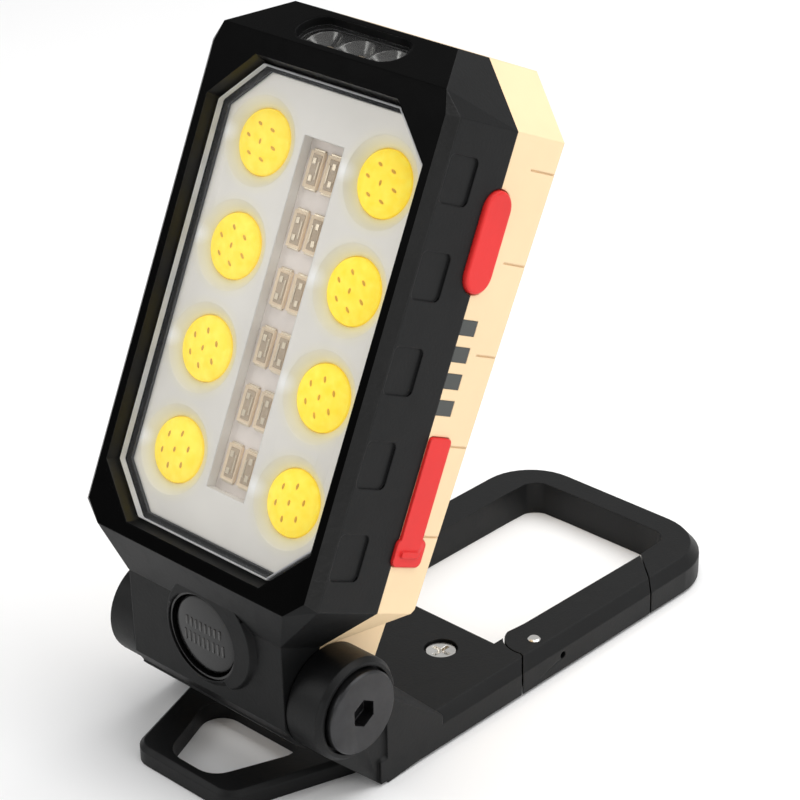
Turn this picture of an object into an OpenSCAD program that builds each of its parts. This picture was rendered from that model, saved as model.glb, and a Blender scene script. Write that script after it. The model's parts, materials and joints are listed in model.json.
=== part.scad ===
// Foldable rechargeable work light: a light head on a friction hinge, over a
// base with a magnet, a hanging loop and a carabiner ring with a sprung gate.
// Millimetres, +Z up. The origin is the centre of the magnet's face on the
// underside of the base; X runs along the hinge and +Y points to the ring.
// The head is drawn upright about the hinge axis: x across, -y out of the
// front, z up the head. at_head() then leans it back and puts it in place.

/* [Head] */
// Width of the light head
head_w = 61.6; // [56:0.2:76]
// Distance from the hinge axis to the top of the head
head_top = 119.3; // [112:0.1:145]
// Distance from the hinge axis forward to the face of the bezel
head_face = 23; // [21.5:0.1:26]
// Distance from the hinge axis forward to the parting plane of the two shells
parting = 5.1; // [4.6:0.1:6.2]
// Distance from the hinge axis back to the rear face
head_back = 12.2; // [11.6:0.1:12.8]
// Wall thickness of the two head shells
wall = 2.2; // [1.8:0.1:2.6]
// Leg of the bevel at the two top corners
top_bevel = 10.8; // [8:0.1:12]
// Lean of the head from upright, in degrees
head_lean = 25; // [0:1:80]
// Width of the neck between the two knuckles
neck_w = 40.8; // [34:0.2:46]
// Depth of the grip recesses on the two sides
grip_depth = 0.5; // [0.3:0.1:1]

/* [Lamp] */
// Width of the clear front lens
lens_w = 51.2; // [46:0.2:52]
// Length of the clear front lens
lens_len = 86.7; // [78:0.1:87.5]
// Leg of the bevel at the lens corners
lens_bevel = 8.6; // [5:0.1:10]
// Thickness of the front lens
lens_t = 2; // [1.2:0.1:2.4]
// Radius of one round light chip
chip_r = 6.2; // [4:0.1:6.6]
// Spacing of the light chips along the head
chip_pitch = 19.65; // [17:0.05:20.5]
// Distance between the two columns of chips
chip_columns = 30.1; // [24:0.1:31]
// Spacing of the warning lights along the middle strip
strip_pitch = 11.06; // [9:0.01:11.5]

/* [Torch] */
// Length of the torch window across the top
torch_w = 25.4; // [20:0.2:28]
// Height of the torch window
torch_h = 8.2; // [7:0.1:8.6]

/* [Controls] */
// Length of the red button on the side
side_button_len = 18.8; // [14:0.1:20]
// Width of the red button on the side
side_button_w = 7.2; // [5:0.1:7.8]
// Travel of the side button
side_travel = 0.6; // [0.3:0.05:0.8]
// Radius of the round power button on the neck
power_r = 8.1; // [6.5:0.1:8.4]
// Travel of the power button
power_travel = 0.7; // [0.4:0.05:0.9]
// Length of the rubber cover over the charging ports
cover_len = 24.3; // [22:0.1:27]
// Size of one battery indicator window along the head
window_h = 2.9; // [2:0.1:3.4]

/* [Hinge] */
// Height of the hinge axis over the underside of the base
hinge_z = 20.75; // [20.2:0.05:25]
// Radius of the two knuckles of the base
knuckle_r = 10.2; // [9.6:0.1:10.4]
// Radius of the hinge bolt
bolt_r = 3; // [2.4:0.1:3.2]
// Radius of the flat head of the hinge bolt
bolt_head_r = 8.2; // [7:0.1:8.6]
// Size of the bolt's hex socket across its flats
socket_af = 5; // [3:0.1:6]

/* [Base] */
// Width of the base
base_w = 56.4; // [54:0.2:68]
// Thickness of the base plate and of the ring
base_t = 7.6; // [7:0.1:8.4]
// Distance from the hinge axis back to the far end of the ring
ring_reach = 112.8; // [100:0.1:136]
// Width of the ring's side rail
rail_w = 9.2; // [7.5:0.1:10.5]
// Width of the ring's end bar
end_bar_w = 7.6; // [6:0.1:10]
// Distance from the hinge axis back to the front edge of the ring opening
plate_end = 48.6; // [45:0.1:52]
// Distance from the hinge axis forward to the tip of the hanging loop
loop_reach = 18.65; // [16:0.05:26]
// Thickness of the hanging loop
loop_t = 3.8; // [3:0.1:4.2]
// Radius of the magnet in the underside
magnet_r = 11; // [8:0.1:12]

/* [Gate] */
// Distance from the hinge axis back to the gate's pivot pin
gate_pivot = 55.2; // [53:0.1:57]
// Length of the gate from its pivot to the outer corner of its nose
gate_len = 31.8; // [26:0.1:34]
// Radius of the gate's pivot pin
gate_pin_r = 1.1; // [0.8:0.05:1.3]

/* [Hidden] */
$fn = 64;
eps = 0.01;
thin = 0.02;

// Running gaps
gap = 0.3;
fit = 0.06;
seat = 0.15;

// Head, measured from the hinge axis
hw = head_w / 2;
neck_hw = neck_w / 2;
bottom_bevel = hw - neck_hw;
neck_top = 9;
head_low = neck_top + bottom_bevel;
bezel_bevel = 2;
bezel_rim = head_face - 1.8;
face_top = head_top - 6.9;
face_low = 16.5;
shoulder = head_face - 9;
neck_r = 10.9;
neck_lip = 8;
neck_lip_z = -7.4;
neck_face_top = 16;
neck_slope = atan((neck_top + 0.3 - neck_lip_z) / (neck_face_top - neck_lip));
neck_mid_z = 3.6;
neck_mid = neck_face_top - (neck_top + 0.3 - neck_mid_z) / tan(neck_slope);
side_edge_low = 5.2;
side_edge_high = 8.8;
rear_bevel = 6.3;
relief = 1.083;

// Lamp stack, from the face inwards
lens_face = head_face - 1.95;
lens_back = lens_face - lens_t;
ledge = lens_back - 0.3;
plate_face = lens_back - 0.6;
board_face = plate_face - 2.4;
board_t = 1.2;
board_back = board_face - board_t;
lens_hw = lens_w / 2;
lens_top = head_top - 12.2;
lens_low = lens_top - lens_len;
lamp_mid = (lens_top + lens_low) / 2 + 0.13;
chip_rows = [-1.5, -0.5, 0.5, 1.5];
cup_r = chip_r + 2.3;
strip_rows = [-2.5, -1.5, -0.5, 0.5, 1.5, 2.5];
strip_hw = 4.9;

// Torch, in the bevel over the face
torch_y = -(head_face + shoulder) / 2;
torch_z = (head_top + face_top) / 2;
torch_normal = atan((head_top - face_top) / (head_face - shoulder));
torch_inset = 1.5;
torch_lens_t = 1;
torch_cup_t = 2.8;
torch_board_t = 0.8;
torch_depth = torch_inset + torch_lens_t + torch_cup_t + torch_board_t;

// Grip recesses, the scribed lines behind them and their spacing
grip_top = head_top - 21.3;
grip_pitch = 17.1;
grip_h = 8.7;
grip_back = 13.2;
grip_front = head_face - 2.1;
grip_rows = [0, 1, 2, 3, 4];

// Control board and what it carries, on the right side
board_x = hw - 10.3;
button_z = head_top - 30.8;
button_y = -(parting - 0.2);
window_z = head_top - 53.75;
window_pitch = 4.95;
window_rows = [-1.5, -0.5, 0.5, 1.5];
window_w = 4.2;
cover_low = 28.4;
cover_top = cover_low + cover_len;
cover_skin = 1.4;
cover_proud = 0.5;
cover_front = parting - 0.2;
cover_rear = 1;
tab_front = parting + 0.5;
tab_rear = 2.3;
port_y = -2.2;
usb_c_z = cover_low + 6;
usb_a_z = cover_low + 17;
port_depth = 7.4;

// Battery
cell_r = 9.2;
cell_len = 65;
cell_x = -4;
cell_y = -1.8;
cell_z = 33;

// Hinge and base, measured from the hinge axis
hinge_y = -27;
knuckle_x0 = neck_hw + gap;
base_hw = base_w / 2;
bolt_face = base_hw + 2.2;
sleeve_r = bolt_r + 1;
washer_r = 7.5;
base_front = 6.3;
slope_sum = 31;
bevel_w = 1.9;
bevel_h = 2.2;
ring_corner = 14;
opening_hw = base_hw - rail_w;
opening_end = ring_reach - end_bar_w;
screw_x = 12.2;
screw_y = plate_end - 8.2;
gate_x = base_hw - 4.4;
gate_nose = gate_pivot + gate_len;
gate_low = 0.5;
fork_low = 2;
fork_high = 5.5;
tongue_low = 2.3;
tongue_high = 5.2;
cover_t = 1.5;

// Points on an arc, from angle a0 to a1
function arc(cx, cy, r, a0, a1, n = 10) =
  [for (i = [0:n]) [cx + r * cos(a0 + (a1 - a0) * i / n), cy + r * sin(a0 + (a1 - a0) * i / n)]];

// Outline with bevelled corners, shrunk by t on every side
function octagon(half, top, low, ct, cb, t = 0) = let (k = t * tan(22.5)) [
  [half - t, low + cb + k], [half - t, top - ct - k], [half - ct - k, top - t],
  [-(half - ct - k), top - t], [-(half - t), top - ct - k], [-(half - t), low + cb + k],
  [-(half - cb - k), low + t], [half - cb - k, low + t]
];

module at_hinge() { translate([0, hinge_y, 0]) children(); }
module at_head() { translate([0, hinge_y, hinge_z]) rotate([-head_lean, 0, 0]) children(); }
module both_sides() { children(); mirror([1, 0, 0]) children(); }

// A thin slice of a head outline, d mm in front of the hinge axis
module slice(d, pts) {
  translate([0, -d + thin, 0]) rotate([90, 0, 0]) linear_extrude(thin) polygon(pts);
}

// A plate in the plane of the lens, from d1 forward to d2
module facing(d1, d2) { translate([0, -d1, 0]) rotate([90, 0, 0]) linear_extrude(d2 - d1) children(); }

// A prism across the head or base: the 2D children are in the (y, z) plane
module across(x0, x1) { translate([x0, 0, 0]) rotate([90, 0, 90]) linear_extrude(x1 - x0) children(); }

module rod(x0, x1, r) { translate([x0, 0, 0]) rotate([0, 90, 0]) cylinder(r = r, h = x1 - x0); }

module rounded(w, h, r) {
  translate([-w / 2 + r, -h / 2]) square([w - 2 * r, h]);
  translate([-w / 2, -h / 2 + r]) square([w, h - 2 * r]);
  for (x = [-1, 1], y = [-1, 1]) translate([x * (w / 2 - r), y * (h / 2 - r)]) circle(r = r, $fn = 32);
}

module stadium(len, w) {
  square([len - w, w], center = true);
  for (x = [-1, 1]) translate([x * (len - w) / 2, 0]) circle(r = w / 2, $fn = 48);
}

// Frames on the head: neck face (+z out of the power button) and torch face
module at_neck_face() {
  translate([0, -neck_mid, neck_mid_z]) rotate([180 - neck_slope, 0, 0]) children();
}
module at_torch() {
  translate([0, torch_y, torch_z]) rotate([torch_normal, 0, 0]) children();
}

// ---------------------------------------------------------------- head shells

function lens_outline(t = 0) = octagon(lens_hw, lens_top, lens_low, lens_bevel, lens_bevel, t);
function shell_outline(t = 0) = octagon(hw, head_top, neck_top, top_bevel, bottom_bevel, t);

// Solid outer shape of the black front half
module front_block() {
  rim = hw - bezel_bevel - 0.2;
  hull() {
    slice(head_face, [[rim, head_low + 0.8], [rim, head_top - top_bevel - 0.2], [rim - 1.3, face_top],
      [1.3 - rim, face_top], [-rim, head_top - top_bevel - 0.2], [-rim, head_low + 0.8],
      [4 - rim, face_low], [rim - 4, face_low]]);
    slice(bezel_rim, [[hw - 0.2, head_low], [hw - 0.2, head_top - top_bevel],
      [0.2 - hw, head_top - top_bevel], [0.2 - hw, head_low]]);
    slice(shoulder, [[hw - top_bevel, head_top], [top_bevel - hw, head_top], [0, head_low]]);
    slice(neck_face_top, [[neck_hw, neck_top], [-neck_hw, neck_top], [0, head_low]]);
    slice(parting + thin, shell_outline());
  }
}

// Strip under the barrel where the front half laps round the rear half
module neck_lap(grow = 0) {
  intersection() {
    circle(r = neck_r + 4 * grow);
    difference() {
      translate([-parting - grow, -20]) square([parting + 3 + 2 * grow, 17 + grow]);
      circle(r = neck_r - 1.2 - grow);
    }
  }
}

// Profile of the neck in front of the parting plane
module neck_front_profile() {
  neck_lap();
  polygon([[-parting, -sqrt(neck_r * neck_r - parting * parting) + 0.3], [-neck_lip, neck_lip_z],
    [-neck_face_top, neck_top + 0.3], [-neck_face_top, neck_top + 3], [-parting, neck_top + 3]]);
}

module boss_places() {
  for (x = [-1, 1]) {
    translate([x * (hw - 7.3), 0, head_top - 14.3]) children();
    translate([x * (neck_hw - 4.9), 0, head_low + 2.6]) children();
  }
}

// Capsule of the side button, in the plane of the side wall
module button_shape(grow = 0) {
  translate([button_y, button_z]) rotate(90) stadium(side_button_len + 2 * grow, side_button_w + 2 * grow);
}

module cover_shape(grow = 0) {
  translate([(cover_rear - cover_front) / 2, (cover_low + cover_top) / 2])
    rounded(cover_front + cover_rear + 2 * grow, cover_len + 2 * grow, 1);
  translate([(tab_rear - tab_front) / 2, cover_low + 2.6])
    rounded(tab_front + tab_rear + 2 * grow, 5.2 + 2 * grow, 1.3);
}

module port_openings() {
  across(board_x, hw + 1) {
    translate([port_y, usb_c_z]) stadium_up(9.3, 3.6);
    translate([port_y, usb_a_z]) square([4.8, 12.4], center = true);
  }
}

module stadium_up(len, w) { rotate(90) stadium(len, w); }

// Cuts for everything on the right side wall
module side_cuts() {
  across(hw - wall - 0.5, hw + 1) button_shape(gap);
  across(hw - cover_skin + cover_proud, hw + 1) cover_shape(seat);
  port_openings();
}

// Control board's block, and the room round it
module board_block(grow = 0) {
  translate([board_x - 1.2 - grow, -board_back + 1.5, cover_low - grow])
    cube([1.2 + 2 * grow, board_back + 4 + grow, button_z - cover_low + 8 + 2 * grow]);
}

module grip_recesses() {
  for (i = grip_rows) across(hw - grip_depth, hw + 1)
    translate([-(grip_back + grip_front) / 2, grip_top - i * grip_pitch])
      rounded(grip_front - grip_back, grip_h, 1.2);
}

module front_housing() color("#2c2d2f") at_head() {
  difference() {
    union() {
      difference() {
        front_block();
        // Hollow behind the lamp board, shallower behind the torch
        facing(parting - 1, shoulder - 6) polygon(shell_outline(wall));
        facing(shoulder - 6 - eps, board_face) polygon(octagon(hw - wall, lens_top - 0.4,
          neck_top + wall, top_bevel - 4, bottom_bevel, 0));
      }
      across(-neck_hw, neck_hw) neck_front_profile();
      // Power button's low collar and the crescent ridge round its upper right
      at_neck_face() {
        translate([0, 0, -1]) cylinder(r1 = power_r + 3.4, r2 = power_r + 1.2, h = 1.8);
        difference() {
          translate([2.2, 1.5, -1]) cylinder(r1 = power_r + 4, r2 = power_r + 2.9, h = 2.2);
          rotate(139.8) translate([-30, 1.6, -2]) cube([60, 40, 5]);
        }
      }
      boss_places() rotate([90, 0, 0]) translate([0, 0, parting])
        cylinder(r = 3, h = board_back - parting - 0.3);
      // Ribs that tie the bosses to the walls
      for (s = [-1, 1]) {
        translate([s > 0 ? hw - 7.3 : -hw + 1, -parting - 6, head_top - 15]) cube([6.3, 6, 1.4]);
        translate([s * (neck_hw - 4.9) - 0.7, -parting - 8, neck_top + 0.5])
          cube([1.4, 8, head_low - neck_top]);
      }
    }
    // Stepped window for the lens, its gasket and the reflector plate
    hull() {
      slice(head_face + 1, lens_outline(-1.5));
      slice(lens_back - thin, lens_outline(-0.15));
    }
    facing(ledge - 0.1, lens_back + 0.5) polygon(lens_outline(-0.15));
    facing(board_face - 0.5, lens_back) polygon(lens_outline(1.2 - seat));
    facing(board_back - 0.2, board_face + 0.05) polygon(lens_outline(-0.9));
    // Torch pocket in the upper bevel
    at_torch() translate([0, 0, -torch_depth]) linear_extrude(torch_depth + 2)
      stadium(torch_w + 0.3, torch_h + 0.3);
    at_torch() translate([0, 0, -torch_depth - 6]) cylinder(r = 1.2, h = 7);
    side_cuts();
    both_sides() grip_recesses();
    // Bore for the power button, its bezel and its switch
    at_neck_face() {
      translate([0, 0, -1]) cylinder(r = power_r + 0.9, h = 6);
      translate([0, 0, -3.4]) cylinder(r = power_r + gap, h = 4);
      translate([-4, -4, -5.4]) cube([8, 8, 4]);
    }
    boss_places() rotate([90, 0, 0]) cylinder(r = 1.1, h = board_back - 1);
  }
}

// Solid outer shape of the rear half
module rear_block() {
  inner = rear_bevel;
  hull() {
    slice(parting, shell_outline());
    for (s = [-1, 1]) {
      translate([s * (hw - thin / 2), side_edge_low, head_low]) cube(thin, center = true);
      translate([s * (hw - thin / 2), side_edge_high, head_top - top_bevel]) cube(thin, center = true);
      translate([s * (hw - top_bevel), side_edge_high + 0.3, head_top - thin / 2])
        cube(thin, center = true);
    }
    slice(-head_back + thin,
      octagon(hw - inner, head_top - 5.5, neck_top + 6, top_bevel - 2, bottom_bevel - inner + 2));
  }
}

module neck_rear_profile() {
  difference() {
    circle(r = neck_r);
    translate([-20, -20]) square([20 - parting, 40]);
    neck_lap(0.05);
  }
  polygon([[-parting, -4], [-parting, neck_top + 6], [head_back - 0.3, neck_top + 6.4],
    [neck_r, 0], [0, -4]]);
}

module rear_shell() color("#f4e2b4") at_head() {
  difference() {
    union() {
      difference() {
        rear_block();
        // Relief that clears the knuckles when the head folds down
        both_sides() across(neck_hw, hw + 2)
          polygon([[-parting, neck_top], [25 - parting, neck_top + 25 * relief], [25 - parting, -25],
            [-parting, -25]]);
        translate([-60, -60 - parting, 0]) cube([120, 60, 140]);
        // Hollow for the battery and the control board
        hull() {
          slice(parting + 1, shell_outline(wall));
          slice(-4, octagon(hw - wall, head_top - wall, head_low + 8, top_bevel, bottom_bevel));
          slice(-head_back + wall,
            octagon(hw - rear_bevel - 1, head_top - 8, head_low + 10, top_bevel, 6));
        }
      }
      across(-neck_hw, neck_hw) neck_rear_profile();
      boss_places() rotate([90, 0, 0]) translate([0, 0, -head_back + 1])
        cylinder(r = 3.2, h = parting + head_back - 1);
      translate([-hw + 1, -parting, head_top - 15]) cube([6.3, 8, 1.4]);
      translate([hw - 7.3, -parting, head_top - 15]) cube([6.3, 8, 1.4]);
    }
    rod(-neck_hw - 1, neck_hw + 1, sleeve_r + 0.02);
    board_block(seat);
    boss_places() rotate([90, 0, 0]) {
      translate([0, 0, -head_back - 1]) cylinder(r = 2.7, h = 4.2);
      translate([0, 0, -head_back]) cylinder(r = 1.45, h = parting + head_back + 1);
    }
    side_cuts();
    // Openings of the four battery indicator windows
    for (i = window_rows) across(hw - wall - 0.4, hw + 1)
      translate([-parting - 0.1, window_z + i * window_pitch - window_h / 2])
        square([window_w + 0.2, window_h]);
    // Scribed lines at the rear edge, in step with the grip recesses
    both_sides() for (i = grip_rows) translate([hw - 0.3, 1.5, grip_top + grip_h / 2 - i * grip_pitch])
      cube([1, 12, 0.3]);
  }
}

module housing_screws() color("#77797c") at_head() boss_places() rotate([90, 0, 0])
  translate([0, 0, -head_back + 3.2]) {
    translate([0, 0, -2]) difference() {
      cylinder(r = 2.5, h = 2);
      translate([-1.4, -0.3, -1]) cube([2.8, 0.6, 2]);
      translate([-0.3, -1.4, -1]) cube([0.6, 2.8, 2]);
    }
    translate([0, 0, -eps]) cylinder(r = 1.05, h = head_back + parting - 3.2 + 4);
  }

module hinge_sleeve() color("#8a8c8f") at_head() difference() {
  rod(-neck_hw, neck_hw, sleeve_r);
  rod(-neck_hw - 1, neck_hw + 1, bolt_r + fit);
}

// ---------------------------------------------------------------- lamp stack

module front_lens() color([0.85, 0.9, 0.95, 0.35]) at_head() facing(lens_back, lens_face)
  polygon(lens_outline());

module lens_gasket() color("#1c1c1c") at_head() facing(ledge - 0.08, lens_back) difference() {
  polygon(lens_outline(0.05));
  polygon(lens_outline(1.1));
}

module chip_places() {
  for (x = [-1, 1], i = chip_rows)
    translate([x * chip_columns / 2, 0, lamp_mid + i * chip_pitch]) children();
}

module reflector_plate() color("#e4e4e2") at_head() difference() {
  facing(board_face, plate_face) polygon(lens_outline(1.2));
  chip_places() rotate([90, 0, 0]) {
    translate([0, 0, board_face - 1]) cylinder(r = chip_r + 0.1, h = 5);
    translate([0, 0, plate_face - 1.4]) cylinder(r1 = chip_r + 0.1, r2 = cup_r, h = 1.4 + eps);
  }
  translate([-strip_hw, -plate_face - 1, lamp_mid - 3 * strip_pitch])
    cube([2 * strip_hw, 5, 6 * strip_pitch]);
}

module cob_chips() color("#f5dc3c") at_head() chip_places() rotate([90, 0, 0])
  translate([0, 0, board_face]) cylinder(r = chip_r, h = 2);

module warning_leds() color("#d9c9a8") at_head() for (i = strip_rows, s = [-1, 1])
  facing(board_face, board_face + 0.9) translate([s * 2.1, lamp_mid + i * strip_pitch])
    square([3.5, 6.8], center = true);

module led_board() color("#c8cacc") at_head() facing(board_back, board_face) polygon(lens_outline(-0.7));

// ---------------------------------------------------------------- torch

module torch_lens() color([0.85, 0.9, 0.95, 0.35]) at_head() at_torch()
  translate([0, 0, -torch_inset - torch_lens_t]) linear_extrude(torch_lens_t) stadium(torch_w, torch_h);

module torch_reflector() color("#d0d2d4") at_head() at_torch()
  translate([0, 0, -torch_inset - torch_lens_t - torch_cup_t]) difference() {
    linear_extrude(torch_cup_t) stadium(torch_w - 0.2, torch_h - 0.2);
    for (x = [-1, 0, 1]) translate([x * (torch_w - 2) / 3, 0, -eps])
      cylinder(r1 = 1.6, r2 = torch_h / 2 - 0.5, h = torch_cup_t + 2 * eps);
  }

module torch_leds() color("#e8e2c8") at_head() at_torch() translate([0, 0, -torch_depth]) {
  linear_extrude(torch_board_t) stadium(torch_w - 0.2, torch_h - 0.2);
  for (x = [-1, 0, 1]) translate([x * (torch_w - 2) / 3, 0, torch_board_t - eps])
    cylinder(r = 1.4, h = 1);
}

// ---------------------------------------------------------------- electrics

module battery_cell() color("#3f7fb5") at_head() translate([cell_x, cell_y, cell_z]) {
  cylinder(r = cell_r, h = cell_len);
  translate([0, 0, cell_len - eps]) cylinder(r = 3, h = 0.8);
}

module battery_tabs() color("#b9bcc0") at_head() translate([cell_x, cell_y, cell_z]) {
  translate([-3, -3, cell_len + 0.8]) cube([10, 6, 0.3]);
  translate([-3, -3, -0.3]) cube([12, 6, 0.3]);
}

module battery_cradle() color("#262626") at_head() difference() {
  for (z = [8, cell_len - 16]) translate([cell_x - cell_r - 3, 0, cell_z + z])
    cube([2 * cell_r + 6, head_back - wall - 0.15, 8]);
  translate([cell_x, cell_y, cell_z - 1]) cylinder(r = cell_r + 0.1, h = cell_len + 2);
}

module control_board() color("#1f5c3a") at_head() board_block();

module indicator_leds() color("#e6efe0") at_head() for (i = window_rows)
  translate([board_x, -parting + 1, window_z + i * window_pitch - 0.9]) cube([1, 1.8, 1.8]);

module indicator_windows() color("#34383a") at_head() for (i = window_rows) across(hw - wall - 0.3, hw)
  translate([-parting, window_z + i * window_pitch - window_h / 2 + 0.05])
    square([window_w, window_h - 0.1]);

module usb_c_port() color("#a8abae") at_head() difference() {
  across(board_x, board_x + port_depth) translate([port_y, usb_c_z]) stadium_up(8.9, 3.2);
  across(board_x + 1, board_x + port_depth + 1) translate([port_y, usb_c_z]) difference() {
    stadium_up(8.3, 2.6);
    square([0.7, 6.6], center = true);
  }
}

module usb_a_port() color("#a8abae") at_head() difference() {
  across(board_x, board_x + port_depth) translate([port_y, usb_a_z]) square([4.5, 12], center = true);
  across(board_x + 1, board_x + port_depth + 1) translate([port_y, usb_a_z]) difference() {
    square([3.9, 11.4], center = true);
    translate([-0.8, 0]) square([1.6, 10.6], center = true);
  }
}

module usb_cover() color("#e8463c") at_head() {
  across(hw - cover_skin + cover_proud + 0.05, hw + cover_proud) cover_shape();
  // Raised bar on the thumb tab
  across(hw + cover_proud - eps, hw + cover_proud + 0.4)
    translate([-1.6, cover_low + 2.4]) rounded(5, 1.3, 0.6);
}

module side_switch() color("#3a3a3c") at_head() {
  translate([board_x, button_y - 3, button_z - 3]) cube([3.4, 6, 6]);
  across(board_x + 3.4 - eps, board_x + 4.2) translate([button_y, button_z]) circle(r = 1.6);
}

module side_button() color("#e8463c") at_head() {
  across(hw - wall - 0.2, hw + 0.7) button_shape(0);
  across(hw - wall - 1, hw - wall - 0.1) button_shape(1);
  across(board_x + 4.3 + side_travel, hw - wall - 1 + eps) translate([button_y, button_z]) circle(r = 1.8);
}

module power_bezel() color("#1d1d1f") at_head() at_neck_face() difference() {
  translate([0, 0, -0.95]) cylinder(r = power_r + 0.85, h = 1.45);
  translate([0, 0, -2]) cylinder(r = power_r + gap, h = 5);
}

module power_button() color("#242426") at_head() at_neck_face() {
  translate([0, 0, -1.6]) cylinder(r = power_r, h = 2);
  translate([0, 0, -2.2]) cylinder(r = 2, h = 0.7);
}

module power_switch() color("#3a3a3c") at_head() at_neck_face() {
  translate([-3.6, -3.6, -5.4]) cube([7.2, 7.2, 0.9]);
  translate([-3, -3, -4.5 - eps]) cube([6, 6, 1]);
  // Plunger, which the button's stem meets at the end of its travel
  translate([0, 0, -3.5 - eps]) cylinder(r = 1.6, h = 1.21 - power_travel);
}

// ---------------------------------------------------------------- base

// Outline of the plate and ring, seen from above, shrunk by t
function base_outline(t = 0) = let (r = ring_corner, cx = base_hw - r, cy = ring_reach - r) concat(
  [[-(base_hw - t), base_front + t]], [[base_hw - t, base_front + t]],
  arc(cx, cy, r - t, 0, 90), arc(-cx, cy, r - t, 90, 180));

module base_slab() {
  hull() {
    linear_extrude(thin) polygon(base_outline(0.6));
    translate([0, 0, 0.6]) linear_extrude(base_t - bevel_h - 0.6) polygon(base_outline());
    translate([0, 0, base_t - thin]) linear_extrude(thin) polygon(base_outline(bevel_w));
  }
}

// Opening of the ring, seen from above
module ring_opening() {
  w = opening_hw;
  polygon(concat([[-w, plate_end], [w, plate_end]],
    [[w, opening_end - 9]], arc(w - 4.5, opening_end - 4.5, 4.5, 15, 75, 6),
    [[w - 9, opening_end], [9 - w, opening_end]], arc(4.5 - w, opening_end - 4.5, 4.5, 105, 165, 6),
    [[-w, opening_end - 9]]));
}

// Outline of the gate, seen from above, grown by g
module gate_outline(g = 0) {
  offset(delta = g) polygon(concat(
    [[opening_hw - 0.4, gate_pivot + 3], [opening_hw + 0.2, gate_nose + 7.8]],
    [[base_hw + 2, gate_nose - 1.8]],
    [[base_hw + 2, gate_pivot - 10], [base_hw, gate_pivot - 8.4], [gate_x + 2.4, gate_pivot - 6.1]],
    arc(gate_x, gate_pivot, 5.9, -75, -165)));
}

module knuckle_profile() {
  translate([0, hinge_z]) circle(r = knuckle_r, $fn = 96);
  polygon([[base_front, 0.6], [base_front - hinge_z + 7.1, hinge_z - 7.1], [0, hinge_z],
    [knuckle_r, slope_sum - knuckle_r], [slope_sum - base_t, base_t], [slope_sum - base_t, 1],
    [base_front + 0.6, 0]]);
}

// One knuckle from its inner face out to its bevelled end
module knuckle(end) {
  across(knuckle_x0, base_hw - 0.6) knuckle_profile();
  across(knuckle_x0, base_hw) intersection() {
    knuckle_profile();
    translate([knuckle_r - 2, 0]) square([40, hinge_z + 2]);
  }
  translate([0, 0, hinge_z]) {
    rod(knuckle_x0, end - 1, knuckle_r);
    translate([end - 1 - eps, 0, 0]) rotate([0, 90, 0])
      cylinder(r1 = knuckle_r, r2 = knuckle_r - 0.8, h = 1 + eps);
  }
}

// Wedge that bevels the knuckle's rear edge down to the side of the plate
module knuckle_edge_cut() {
  polyhedron(
    points = [[base_hw + 0.3, 9.6, slope_sum - 13.2], [base_hw - 2.2, 9.6, slope_sum - 9.6 + 0.1],
      [base_hw + 0.3, 9.6, slope_sum - 9.5], [base_hw + 0.3, slope_sum - 3, 3]],
    faces = [[0, 1, 2], [0, 3, 1], [1, 3, 2], [0, 2, 3]]);
}

module loop_outer(t) {
  hull() {
    for (x = [-1, 1]) {
      translate([x * 9.6, 4.6 - loop_reach]) circle(r = 4.6 - t, $fn = 32);
      translate([x * (20.4 - t) - 1, base_front]) square([2, 1]);
    }
  }
}

module loop_hole() {
  hull() for (x = [-1, 1]) {
    translate([x * 7.7, -1.1]) circle(r = 4.2, $fn = 32);
    translate([x * 2.6, 7.6 - loop_reach]) circle(r = 5.2, $fn = 32);
  }
}

module hanging_loop() {
  difference() {
    hull() {
      linear_extrude(loop_t - 0.9) loop_outer(0);
      translate([0, 0, loop_t - thin]) linear_extrude(thin) loop_outer(0.9);
    }
    translate([0, 0, -1]) linear_extrude(loop_t + 2) loop_hole();
  }
}

module cover_outline(t = 0) {
  hull() for (x = [-1, 1], y = [12, plate_end - 5.5])
    translate([x * (base_hw - 7), y]) circle(r = 3 - t, $fn = 32);
}

module base_frame() color("#303133") at_hinge() difference() {
  union() {
    difference() {
      base_slab();
      translate([0, 0, -1]) linear_extrude(base_t + 2) ring_opening();
      translate([0, 0, -1]) linear_extrude(base_t + 2) gate_outline(gap);
    }
    // Tongue that carries the gate's pin
    difference() {
      translate([0, 0, tongue_low]) linear_extrude(tongue_high - tongue_low) union() {
        translate([gate_x, gate_pivot]) circle(r = 2.8);
        translate([gate_x - 2, gate_pivot - 9]) square([4.4, 9]);
      }
      translate([gate_x, gate_pivot, tongue_high - 1.5]) cylinder(r = 2.2, h = 3);
      translate([gate_x - 0.5, gate_pivot, tongue_high - 1.5]) cube([1, 5, 3]);
    }
    hanging_loop();
    knuckle(bolt_face - 1.5);
    mirror([1, 0, 0]) knuckle(bolt_face - 2.4);
  }
  // Bevel behind each knuckle
  both_sides() knuckle_edge_cut();
  // Hinge bore, with seats for the bolt head, the nut and the washers
  translate([0, 0, hinge_z]) {
    rod(-base_hw - 3, base_hw + 3, bolt_r + fit);
    rod(bolt_face - 3, base_hw + 5, bolt_head_r + 0.5);
    rod(bolt_face - 4, base_hw + 5, 6.8);
    rod(-base_hw - 5, 3.6 - bolt_face, bolt_head_r + 0.1);
    both_sides() rod(knuckle_x0 - 1, knuckle_x0 + 0.7, washer_r + 0.2);
  }
  translate([gate_x, gate_pivot, -1]) cylinder(r = gate_pin_r + fit, h = 12);
  // Seats for the two screws, and the recess for the bottom cover and magnet
  for (x = [-1, 1]) translate([x * screw_x, screw_y, 0]) {
    cylinder(r = 1.7, h = base_t + 1);
    translate([0, 0, base_t - 2.4]) cylinder(r = 3.4, h = 4);
    translate([0, 0, -1]) cylinder(r = 3, h = 4.9);
  }
  translate([0, 0, -1]) linear_extrude(cover_t + 1.1) cover_outline(-0.2);
  translate([0, -hinge_y, -1]) cylinder(r = magnet_r + 1.3, h = 6.2);
}

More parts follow.
